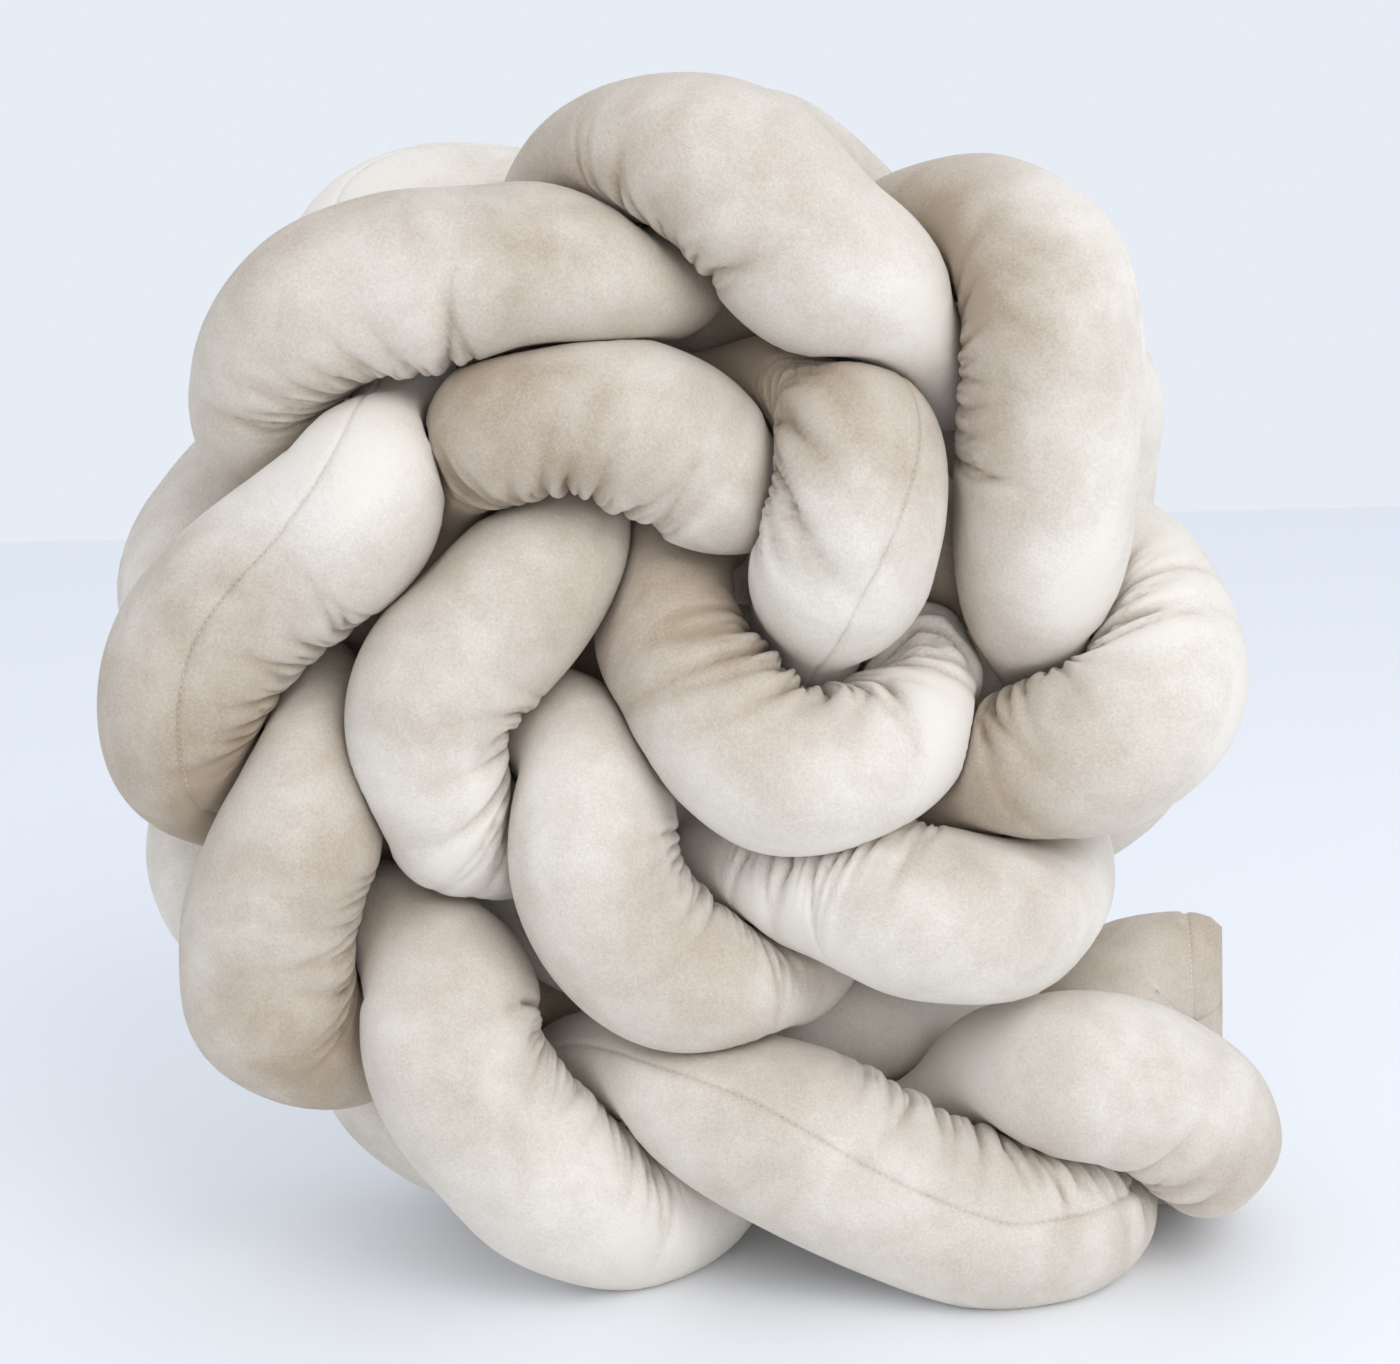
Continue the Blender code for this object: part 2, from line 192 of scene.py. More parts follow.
def makeRoom(axes):  # moves the axes apart until pressed tubes have room side by side
    count = len(axes[0])
    radius = braid["radius"]
    start = np.concatenate([axis[:, :3] for axis in axes])
    hold = np.concatenate([axis[:, 4] for axis in axes])[:, None] * np.array(braid["holdAxes"])
    full = np.concatenate([axis[:, 3] for axis in axes])
    place = start.copy()
    owner = np.repeat(np.arange(len(axes)), count)
    index = np.tile(np.arange(count), len(axes))
    steps = abs(index[:, None] - index[None])
    for _ in range(braid["roomRounds"]):
        step = np.linalg.norm(place[1] - place[0])
        own = (owner[:, None] == owner[None]) & (steps * step < braid["ownSkip"] * radius)
        away = place[:, None] - place[None]
        distance = np.linalg.norm(away, axis=2) + 1e-6   # never quite nothing
        room = 2 * radius * braid["pressed"] * 0.5 * (full[:, None] + full[None])
        short = np.where(own, 0.0, np.clip(room - distance, 0, None))
        push = (away / distance[:, :, None] * short[:, :, None]).sum(1)
        touching = np.maximum((short > 0).sum(1), 1)[:, None]
        moved = place + braid["pushStep"] * push / touching ** 0.5
        moved += hold * (start - moved)
        for k in range(len(axes)):
            span = slice(k * count, (k + 1) * count)
            part = moved[span] - start[span]
            part[1:-1] += braid["evenStep"] * (0.5 * (part[:-2] + part[2:]) - part[1:-1])
            moved[span] = start[span] + part
        moved[:, 2] = np.maximum(moved[:, 2], radius * braid["floorPressed"] * full)
        place = moved
    return [np.column_stack([place[k * count:(k + 1) * count], axis[:, 3]])
            for k, axis in enumerate(axes)]


# Each skin is a grid of rings across the tube, whose first column is the lengthwise seam.
skin = {
    "sides": 72,               # points round a ring
    "ringStep": 0.0055,        # from one ring to the next where the cloth is smooth
    "gatherStep": 0.00125,     # and where it is gathered, at the front
    "hiddenStep": 0.0026,      # and at the back
    "seamStep": 0.0008,        # and across the seams that close a tube's ends
    "stepSmoothing": 0.004,    # width in which one step goes over into the next
    "alongStep": 0.0010,       # step in which things are evened out along a tube
    "contact": 0.0030,         # a point this near to the half-way surface is pressed on
    "limb": 74.0,              # degrees from its front at which a free tube turns away
    "pressSteps": 600,         # steps of an axis that presses on its neighbours
    "pressReach": 5.0,         # a tube presses on those within this many radii
    "leastToward": 1e-4,       # and not on a side that leads less towards it than this
    "openReach": 1.0,          # how far off the meeting surface is where nothing presses
    "leastRadius": 0.5,        # share of the radius that a squeezed tube always keeps
    "radiusRounds": 24,        # halvings in the search for a squeezed tube's free radius
    "seamColumns": (0.0009, 0.0021, 0.0042),   # columns beside the seam, from its middle
    "seamProfile": (1.0, 0.55, 0.12, -0.10),   # how far each is drawn in, from the seam out
    "seamDepth": 0.0013,       # against this
    "pucker": 0.35,            # how unevenly, and the two lengths over which that changes
    "puckerWaves": (0.0034, 0.0131),
    "seamSmoothing": 0.025,    # width in which the seam's route is evened out
    "endSeamAt": 0.017,        # from a tube's end to the seam that closes it
    "endSeamWidth": 0.0014,    # half its width
    "endSeamReach": 0.005,     # rings this near to it are close together
    "roundSmoothing": 40,      # rounds of evening out round the tube
    "alongSmoothing": 0.014,   # width in which the skin is evened out along it
    "lumps": 0.0010,           # height of the filling's soft unevenness
    "lumpSize": 0.070,         # and its spacing
    "lumpSizes": (0.7, 1.6),   # least and most of that in one of its waves
    "lumpWaves": 9,
    "seed": 40,                # of the first tube's lumps and gathers
}


def blurred(at, values, width):  # evened out along a tube, over about width metres
    step = skin["alongStep"]
    fine = np.arange(at[0], at[-1] + step, step)
    reach = int(3 * width / step)   # a bell curve, cut off at three widths
    kernel = np.exp(-0.5 * (np.arange(-reach, reach + 1) * step / width) ** 2)
    even = np.interp(fine, at, values)
    padded = np.concatenate([np.full(reach, even[0]), even, np.full(reach, even[-1])])
    return np.interp(at, fine, np.convolve(padded, kernel / kernel.sum(), "valid"))


def blurredRings(at, values, width):  # the same for every column of a skin
    return np.stack([blurred(at, column, width) for column in values.T], 1)


def ringPlaces(length, runs):  # where the rings stand: closer together in the gathers
    fine = np.arange(0, length, skin["alongStep"])
    step = np.full(len(fine), skin["ringStep"])
    for start, end, close in runs:
        step[(fine > start) & (fine < end)] = close
    step = blurred(fine, step, skin["stepSmoothing"])
    for end in (fine, length - fine):
        step[abs(end - skin["endSeamAt"]) < skin["endSeamReach"]] = skin["seamStep"]
    count = np.cumsum(skin["alongStep"] / step)
    return np.append(np.interp(np.arange(count[0], count[-1] - 0.5), count, fine), length)


def columnAngles():  # angles round a ring, from the seam, with close columns beside it
    near = np.array(skin["seamColumns"]) / braid["radius"]
    free = skin["sides"] - 2 * len(near) - 1
    step = (2 * np.pi - 2 * near[-1]) / (free + 1)
    wide = near[-1] + step * np.arange(1, free + 1)
    return np.concatenate([[0], near, wide, 2 * np.pi - near[::-1]])


def ringFrames(axis):  # along the tube, and two directions across it that hardly turn
    along = unit(np.gradient(axis, distances(axis), axis=0))
    side = np.cross(along[0], (0.0, 1.0, 0.0))
    sides = np.zeros(axis.shape)
    for i, direction in enumerate(along):
        side = side - direction * side.dot(direction)
        side /= np.linalg.norm(side)
        sides[i] = side
    return along, sides, np.cross(along, sides)


def pressersOf(k, axes, at):  # for each ring, the axes near it, without its own part
    steps = skin["pressSteps"]
    own = evenly(axes[k], steps)[:, :3]
    ownAt = np.linspace(0, distances(axes[k])[-1], steps)
    rest = [evenly(other, steps)[:, :3] for j, other in enumerate(axes) if j != k]
    skip = braid["ownSkip"] * braid["radius"]
    return [np.concatenate(rest + [own[abs(ownAt - a) > skip]]) for a in at]


def nearestPress(centres, directions, others):  # how far off the tubes' meeting surface is
    reach = np.full(directions.shape[:2], skin["openReach"])
    for i, centre in enumerate(centres):
        away = others[i] - centre
        over = abs(centre[1]) - abs(others[i][:, 1])
        near = (away ** 2).sum(1) < (skin["pressReach"] * braid["radius"]) ** 2
        away, over = away[near], over[near]
        if len(away):
            share = 0.5 + braid["firmer"] * np.tanh(over / braid["firmerReach"])
            toward = directions[i] @ away.T
            least = skin["leastToward"]
            meets = share * (away ** 2).sum(1)[None] / np.maximum(toward, least)
            meets[toward <= least] = skin["openReach"]
            reach[i] = np.minimum(meets.min(1), skin["openReach"])
    return reach


def pressedRadii(press, full, angles):  # round, flat where pressed, and wider to make up for it
    sharp = braid["squeeze"]
    wanted = np.pi * (braid["radius"] * full) ** 2
    turn = np.sin(np.diff(np.append(angles, 2 * np.pi)))
    low = np.full(len(press), skin["leastRadius"] * braid["radius"])
    high = braid["radius"] * full * braid["spread"]
    for _ in range(skin["radiusRounds"]):
        free = 0.5 * (low + high)
        radii = (free[:, None] ** -sharp + press ** -sharp) ** (-1 / sharp)
        small = 0.5 * (turn * radii * np.roll(radii, -1, axis=1)).sum(1) < wanted
        low = np.where(small, free, low)
        high = np.where(small, high, free)
    return radii


def smoothed(at, radii):  # the cloth takes no sharp turn, round the tube or along it
    for _ in range(skin["roundSmoothing"]):
        radii = 0.5 * radii + 0.25 * (np.roll(radii, 1, axis=1) + np.roll(radii, -1, axis=1))
    return blurredRings(at, radii, skin["alongSmoothing"])


def roundedOff(distance, reach, least):  # least at a tube's end, 1 at the distance reach
    share = np.clip(distance / reach, 0, 1)
    return least + (1 - least) * np.sqrt(1 - (1 - share) ** 2)


def endSquash(centres, edgeNormals):  # the way each ring is flattened, how thick and how wide
    at = distances(centres)
    along = unit(np.gradient(centres, at, axis=0))
    normals = np.zeros(centres.shape)
    left = np.ones(len(centres))
    wide = roundedOff(np.minimum(at, at[-1] - at), braid["endCorner"], braid["endWidth"])
    for distance, normal in zip((at, at[-1] - at), edgeNormals):
        near = distance < braid["endTaper"]
        normal = np.array(normal) - along[near] * (along[near] @ np.array(normal))[:, None]
        normals[near] = unit(normal)
        left[near] = roundedOff(distance[near], braid["endTaper"], braid["endEdge"])
    return normals, left, wide


def nearestRing(centres, point):
    return int(np.argmin(np.linalg.norm(centres - np.array(point), axis=1)))


def bendMarks(centres, first):  # the rings at the out, mid and in points of each bend
    marks = {}
    for name, full, front, behind in tubeBends(first):
        marks[name] = [nearestRing(centres, p) for p in front]
        if behind:
            marks["behind " + name] = [nearestRing(centres, p) for p in behind]
    return marks


def ringAt(mark, u):  # u runs from -1 at the bend's out point over 0 at its middle to 1
    out, mid, into = mark
    return mid + u * (mid - out) if u < 0 else mid + u * (into - mid)


def wrapped(angle):  # the same angle between -pi and pi
    return (angle + np.pi) % (2 * np.pi) - np.pi


def facing(frames, way):  # angle, in each ring, of the way to the front or the back
    side, up = frames[1:]
    return np.arctan2(up @ np.array(way), side @ np.array(way))


def toHeart(centres):  # the way from each ring to the roll's heart, level with the ring
    inward = np.array([rollCentre[0], 0.0, rollCentre[1]]) - centres
    inward[:, 1] = 0.0
    return inward


def heartTurn(centres, frames, face):  # which way round each ring leads to the roll's heart
    side, up = frames[1:]
    inward = toHeart(centres)
    heart = np.arctan2((inward * up).sum(1), (inward * side).sum(1))
    return np.where(wrapped(heart - face) > 0, 1.0, -1.0)


# Where the lengthwise seams run: the bend, the place along it, and degrees round the tube
# from its front, towards the roll's heart. Two of the seams keep out of sight.
outOfSight = -150
seamPlaces = {
    "strand_1": [(bend, 0.0, outOfSight) for bend in ("tail", "left1", "top1", "low1", "inner2")],
    "strand_2": (("foot", -0.7, 15), ("foot", 0.0, 22), ("foot", 0.9, 30),
                 ("left2", -0.8, 6), ("left2", -0.3, 0), ("left2", 0.2, -13), ("left2", 0.8, -25),
                 ("top2", 0.0, -75), ("low2", 0.0, -95),
                 ("inner3", -0.33, -75), ("inner3", 0.0, -30), ("inner3", 0.3, -10),
                 ("inner3", 0.75, 2)),
    "strand_3": [(bend, 0.0, outOfSight) for bend in ("heel", "left3", "right", "inner1", "heart")],
}


def seamAngles(name, marks, centres, frames):  # the seam's angle in each ring of a tube
    front = facing(frames, (0.0, -1.0, 0.0))
    turn = heartTurn(centres, frames, front)
    rings, angles = [], []
    for bend, u, degrees in seamPlaces[name]:
        ring = int(round(ringAt(marks[bend], u)))
        rings.append(ring)
        angles.append(front[ring] + turn[ring] * math.radians(degrees))
    angles = np.interp(np.arange(len(centres)), rings, np.unwrap(angles))
    return blurred(distances(centres), angles, skin["seamSmoothing"])


# One row for each run of gathers, where a tube tucks in behind the one before it: the bend,
# its side (1 towards the roll's heart, -1 away), the stretch of the bend, and the gathers'
# depth, spacing along the edge, length away from it, and lean.
gatherRows = (
    # bend     side   from     to   depth   pitch  length   lean
    ("tail",    -1,  -1.50, -0.10, 0.0048, 0.0110, 0.030,  0.1),
    ("foot",     1,  -0.95,  0.60, 0.0040, 0.0100, 0.020,  0.0),
    ("heel",     1,  -0.95,  0.70, 0.0036, 0.0100, 0.018,  0.0),
    ("left1",    1,  -1.00,  0.50, 0.0032, 0.0085, 0.018,  0.0),
    ("left2",    1,  -0.85,  0.60, 0.0034, 0.0100, 0.020,  0.1),
    ("left3",    1,  -0.95,  0.45, 0.0040, 0.0105, 0.022,  0.0),
    ("top1",     1,  -0.85,  0.40, 0.0040, 0.0115, 0.022,  0.1),
    ("top2",     1,  -0.85,  0.55, 0.0034, 0.0100, 0.020,  0.0),
    ("right",    1,  -1.15,  0.70, 0.0050, 0.0110, 0.028, -0.2),
    ("low1",     1,  -0.20,  1.30, 0.0042, 0.0100, 0.024,  0.2),
    ("low2",     1,  -1.00,  0.60, 0.0034, 0.0085, 0.018,  0.0),
    ("inner1",   1,  -1.05,  0.55, 0.0036, 0.0095, 0.028, -0.3),
    ("inner2",   1,  -0.75,  0.90, 0.0054, 0.0115, 0.026,  0.1),
    ("inner3",   1,  -0.95,  0.65, 0.0036, 0.0085, 0.042,  0.8),
    ("heart",    1,  -1.35,  0.95, 0.0066, 0.0130, 0.034,  0.2),
)
hiddenGathers = (1, -0.85, 0.70, 0.0040, 0.0110, 0.022, 0.0)  # of each bend at the back

# The gathers come in layers: deep tucks, small creases between them and a broad swell.
gatherLayers = (
    # depth   pitch   length   broad
    (1.00,    1.00,   1.00,    False),
    (0.50,    0.48,   0.50,    False),
    (0.34,    2.60,   2.20,    True),
)

gathers = {
    "faces": ((0.0, -0.97, 0.24), (0.0, 1.0, 0.0)),  # where front and back bends face
    "rimSmoothing": 0.006,     # width in which the rim line is evened out along the tube
    "closeRings": 0.008,       # close rings go on this far past a run of gathers
    "nearRun": 0.03,           # a run draws in rings up to this far past it
    "fadeIn": 0.012,           # length over which it grows from nothing at either end
    "depth": 1.3,              # a whole gather's depth, against its row's
    "depths": (0.50, 1.20),    # least and most of that
    "lengths": (0.55, 1.40),   # least and most of its length, against its row's
    "spacings": (0.55, 1.45),  # and of the distance to the next one
    "stray": 0.35,             # how far its way strays from its row's lean
    "width": 0.16,             # at the rim, against the spacing
    "flare": 0.05,             # how much wider it gets with the distance from the rim
    "swellWidth": 1.6,         # how much wider it is in the broad layer
    "fadeOut": 1.4,            # how suddenly it ends
    "overRim": 0.5,            # how slowly it fades behind the rim, against in front of it
    "puff": 0.34,              # how far the cloth swells between them, against their depth
    "puffLength": 1.2,         # and how far from the rim, against their length
}


def tubeGathers(marks):  # the rows above that are on this tube, and those of its hidden bends
    rows = [row for row in gatherRows if row[0] in marks]
    return rows + [(bend, *hiddenGathers) for bend in marks if bend.startswith("behind")]


def gatherRuns(marks, at):  # the stretches of a tube's axis that are gathered
    runs = []
    for name, side, start, end, *_ in tubeGathers(marks):
        ends = [ringAt(marks[name], start), ringAt(marks[name], end)]
        places = np.interp(ends, np.arange(len(at)), at)
        close = skin["hiddenStep"] if name.startswith("behind") else skin["gatherStep"]
        past = gathers["closeRings"]
        runs.append((min(places) - past, max(places) + past, close))
    return sorted(runs, key=lambda run: -run[2])


def rimAngles(tube, face, turn):  # how far round from its face each ring is pressed on
    around = wrapped(turn * (tube["angles"] - face[:, None]))
    pressedOn = (tube["press"] - tube["radii"] < skin["contact"]) & (around > 0)
    limb = math.radians(skin["limb"])
    rim = np.minimum(np.where(pressedOn, around, limb).min(1), limb)
    return around, blurred(tube["at"], rim, gathers["rimSmoothing"])


def gather(tube, row, random):  # how far the gathers of one row draw the skin in
    name, side, start, end, depth, pitch, length, lean = row
    marks = tube["marks"][name]
    face = facing(tube["frames"], gathers["faces"][name.startswith("behind")])
    turn = side * heartTurn(tube["centres"], tube["frames"], face)[marks[1]]
    around, rim = rimAngles(tube, face, turn)
    beyond = (rim[:, None] - around) * braid["radius"]
    beyond = np.where(beyond < 0, -gathers["overRim"] * beyond, beyond)
    across, up = tube["frames"][1:]
    edge = (face + turn * rim)[:, None]
    line = tube["centres"] + braid["radius"] * (across * np.cos(edge) + up * np.sin(edge))
    at = distances(line)
    ends = [ringAt(marks, u) for u in (start, end)]
    first, last = sorted(np.interp(ends, np.arange(len(at)), at))
    near = (at > first - gathers["nearRun"]) & (at < last + gathers["nearRun"])
    at, beyond = at[near][:, None], beyond[near]
    drawn = np.zeros(beyond.shape)
    for deep, spaced, long, broad in gatherLayers:
        place = first + pitch * spaced * random.uniform(0, 1)
        while place < last:
            share = random.uniform(*gathers["depths"])
            reach = length * long * random.uniform(*gathers["lengths"])
            middle = place + (lean + random.uniform(-gathers["stray"], gathers["stray"])) * beyond
            width = pitch * spaced * gathers["width"] + gathers["flare"] * beyond
            away = abs(at - middle) / width
            valley = np.exp(-0.5 * (away / gathers["swellWidth"]) ** 2) if broad else np.exp(-away)
            fading = np.exp(-(beyond / reach) ** gathers["fadeOut"])
            drawn += depth * gathers["depth"] * deep * share * valley * fading
            place += pitch * spaced * random.uniform(*gathers["spacings"])
    puff = gathers["puff"] * depth * np.exp(-(beyond / (gathers["puffLength"] * length)) ** 2)
    window = np.clip(np.minimum(at - first, last - at) / gathers["fadeIn"], 0, 1)
    sunk = np.zeros(around.shape)
    sunk[near] = window * (drawn - puff)
    return sunk


def lumps(points, random):  # soft unevenness of the filling
    height = np.zeros(points.shape[:2])
    for _ in range(skin["lumpWaves"]):
        way = unit(random.normal(size=3))
        wave = way * 2 * np.pi / (skin["lumpSize"] * random.uniform(*skin["lumpSizes"]))
        height += np.sin(points @ wave + random.uniform(0, 2 * np.pi))
    return height * skin["lumps"] / math.sqrt(skin["lumpWaves"])


def stuffTube(k, axes):  # one tube as a grid of rings, with what later steps need
    name, first, *_, edgeNormals = strands[k]
    random = np.random.default_rng(skin["seed"] + k)
    axis = axes[k]
    coarse = distances(axis)
    places = ringPlaces(coarse[-1], gatherRuns(bendMarks(axis[:, :3], first), coarse))
    ring = smoothThrough(axis, np.interp(places, coarse, np.arange(len(axis))))
    centres = ring[:, :3]
    at = distances(centres)
    frames = ringFrames(centres)
    marks = bendMarks(centres, first)
    angles = seamAngles(name, marks, centres, frames)[:, None] + columnAngles()[None]
    side, up = frames[1:]
    turned = angles[:, :, None]
    directions = side[:, None] * np.cos(turned) + up[:, None] * np.sin(turned)
    press = nearestPress(centres, directions, pressersOf(k, axes, at)) - braid["gap"]
    radii = pressedRadii(press, ring[:, 3], columnAngles())
    radii = np.minimum(smoothed(at, radii), press)
    tube = {"name": name, "at": at, "centres": centres, "frames": frames, "marks": marks,
            "angles": angles, "directions": directions, "press": press, "radii": radii,
            "edgeNormals": edgeNormals}
    lumpy = lumps(centres[:, None] + directions * radii[:, :, None], random)
    tube["creased"] = sum(gather(tube, row, random) for row in tubeGathers(marks))
    tube["radii"] = np.minimum(radii + lumpy - tube["creased"], press)
    print(name, "has", len(at), "rings of", skin["sides"], "points and is",
          round(at[-1], 3), "m long")
    return tube


def seamGroove(tube):  # how far the lengthwise seam and the end seams are drawn in
    at = tube["at"]
    columns = np.zeros(tube["radii"].shape)
    for j, share in enumerate(skin["seamProfile"]):
        columns[:, [j, -j]] = share
    short, long = skin["puckerWaves"]
    pucker = 1.0 + skin["pucker"] * np.sin(at / short) * np.sin(at / long)
    groove = skin["seamDepth"] * columns * pucker[:, None]
    for distance in (at, at[-1] - at):
        across = abs(distance - skin["endSeamAt"])
        groove += (skin["seamDepth"] * np.exp(-(across / skin["endSeamWidth"]) ** 2))[:, None]
    return groove


def skinPoints(tube):  # the finished points of one tube, ring by ring
    normals, left, wide = endSquash(tube["centres"], tube["edgeNormals"])
    radii = (tube["radii"] - seamGroove(tube)) * wide[:, None]
    offsets = tube["directions"] * radii[:, :, None]
    depth = (offsets * normals[:, None]).sum(2)
    offsets -= ((1 - left)[:, None] * depth)[:, :, None] * normals[:, None]
    points = tube["centres"][:, None] + offsets
    points[:, :, 2] = np.maximum(points[:, :, 2], 0.0)
    return points


def skinFaces(rings, sides):  # quads between the rings, and a fan on each end
    ring, side = np.meshgrid(np.arange(rings - 1), np.arange(sides), indexing="ij")
    after = (side + 1) % sides
    quads = np.stack([ring * sides + side, ring * sides + after,
                      (ring + 1) * sides + after, (ring + 1) * sides + side], 2).reshape(-1, 4)
    first, last = rings * sides, rings * sides + 1
    fans = []
    for j in range(sides):
        n = (j + 1) % sides
        fans.append((first, n, j))
        fans.append((last, (rings - 1) * sides + j, (rings - 1) * sides + n))
    return quads.tolist() + fans


velvet = {
    "pale": (0.925, 0.868, 0.790),     # at tone 0: nap lying towards the light, and painted light
    "tan": (0.470, 0.370, 0.265),      # at tone 1: nap lying away from it, and painted shade
    "toneLimits": (0.03, 1.00),        # least and most tan, before the painted crease shade and the patches
    "toneSmoothing": 0.016,            # width in which the tone is evened out along a tube
    "otherHeartNapAndShade": 0.1,             # nap and painted shade on the heart side of the ends and the bends at the back
    "creaseShadeTone": 0.30,                # how much more tan painted shade makes a crease, and how much paler painted light makes a ridge
    "creaseShadeDepth": 0.0030,             # that is as deep as this, in metres,
    "creaseShadeSpread": 0.008,             # below what lies this near along the tube
    "creaseShadeLimits": (-1.0, 1.5),       # least and most of that
    "seamTone": (0.28, 0.04, 0.00),    # how much more tan the columns are, from the seam out
    "layers": (                        # patches: size per metre, change of tone, distortion
        (11.0, 0.20, 0.6),             # brushed nap
        (48.0, 0.07, 0.4),             # mottling in it
        (600.0, 0.05, 0.0),            # tufts of the pile
        (950.0, 0.08, 0.0),            # and its grain
    ),
    "layerNoise": (3.0, 0.55),         # detail and roughness of their noise
    "layerRange": (0.30, 0.70),        # the part of it that makes the change
    "roughness": 0.88,
    "specular": 0.25,
    "sheen": 0.30,
    "sheenRoughness": 0.45,
    "sheenTint": (1.0, 0.97, 0.93),
    "brushNoise": (75.0, 3.0, 0.6, 0.8),     # streaks: scale, detail, roughness, distortion
    "brushBump": (0.5, 0.0009),              # strength, and height in metres
    "grainNoise": (950.0, 4.0, 0.75, 0.0),   # the same for the pile's grain
    "grainBump": (0.8, 0.00105),
}

# How tan each bend is, from 0, pale, to 1, at its out, mid and in points: the nap's own tone
# together with painted light and painted shade, set where a bend lies lit or in shadow, and how
# much more tan it is on the side towards the roll's heart.
napAndShadeTones = {
    "tail":   (0.30, 0.36, 0.08, -0.20), "foot":   (0.35, 0.14, 0.35,  0.10),
    "heel":   (0.00, 0.25, 0.35,  0.15), "left1":  (0.90, 0.52, 0.45,  0.10),
    "left2":  (1.10, 0.60, -0.05, 0.15), "left3":  (0.78, 0.44, 0.68,  0.12),
    "top1":   (0.78, 0.50, 0.00,  0.20), "top2":   (1.05, 0.44, 0.12,  0.68),
    "right":  (-0.05, 0.18, 1.40, 0.15), "low1":   (0.15, 0.50, -0.80, 0.12),
    "low2":   (0.45, 0.32, 0.30,  0.12), "inner1": (-0.90, 0.60, 0.48,  0.10),
    "inner2": (2.60, 0.75, 0.20,  0.25), "inner3": (1.80, 0.48, -0.40, 0.25),
    "heart":  (-0.12, 0.22, 0.92, 0.12),
}
# How tan each tube is at its first and last ring: the nap, with painted shade on the inner ends,
# which lie in the dark gap by the heart, and painted light on the third tube's start, which lies in
# shade behind the tail.
napAndShadeEnds = {"strand_1": (0.6, 1.3), "strand_2": (0.75, 1.3), "strand_3": (-0.30, 1.4)}
napBehind = 0.38               # how tan it looks along the bends at the back


def napAndShadeOf(tube):  # how tan each point of a skin is: the nap with painted light and shade, painted crease shade, and the seam's tone
    marks, at, other = tube["marks"], tube["at"], velvet["otherHeartNapAndShade"]
    ends = napAndShadeEnds[tube["name"]]
    rings, tones = [0], [(ends[0], other)]
    for bend, (out, mid, into, heartNapAndShade) in napAndShadeTones.items():
        if bend in marks:
            rings += marks[bend]
            tones += [(out, heartNapAndShade), (mid, heartNapAndShade), (into, heartNapAndShade)]
        if "behind " + bend in marks:
            rings.append(marks["behind " + bend][1])
            tones.append((napBehind, other))
    rings.append(len(at) - 1)
    tones.append((ends[1], other))
    order = np.argsort(rings, kind="stable")
    rings, tones = np.array(rings)[order], np.array(tones)[order]
    every = np.arange(len(at))
    tone, heartNapAndShade = [blurred(at, np.interp(every, rings, column), velvet["toneSmoothing"])
                       for column in tones.T]
    # Painted shade: the side towards the roll's heart, where the tubes crowd in, turns more tan by
    # each bend's share, together with the nap there.
    toward = (tube["directions"] * unit(toHeart(tube["centres"]))[:, None]).sum(2)
    tone = np.clip(tone[:, None] + heartNapAndShade[:, None] * toward, *velvet["toneLimits"])
    # Painted shade: a crease deeper than the skin around it turns more tan, and painted light makes
    # a ridge that stands out paler.
    creased = tube["creased"] - blurredRings(at, tube["creased"], velvet["creaseShadeSpread"])
    creased = np.clip(creased / velvet["creaseShadeDepth"], *velvet["creaseShadeLimits"])
    seam = np.zeros(creased.shape)
    for j, share in enumerate(velvet["seamTone"]):
        seam[:, [j, -j]] = share
    return tone + velvet["creaseShadeTone"] * creased + seam


def tubeObject(tube, points, material):
    rings, sides = points.shape[:2]
    tips = [points[0].mean(0)[None], points[-1].mean(0)[None]]
    mesh = bpy.data.meshes.new(tube["name"] + "_velvet")
    mesh.from_pydata(np.concatenate([points.reshape(-1, 3)] + tips).tolist(), [],
                     skinFaces(rings, sides))
    # the skin's tone, with its painted light and shade, goes to the material as an attribute
    napAndShade = napAndShadeOf(tube)
    napAndShade = np.concatenate([napAndShade.ravel(), napAndShade[:1, 0], napAndShade[-1:, 0]]).astype(np.float32)
    mesh.attributes.new("napAndShade", "FLOAT", "POINT").data.foreach_set("value", napAndShade)
    mesh.materials.append(material)
    mesh.shade_smooth()
    piece = bpy.data.objects.new(tube["name"] + "_velvet", mesh)
    bpy.context.scene.collection.objects.link(piece)
    return piece


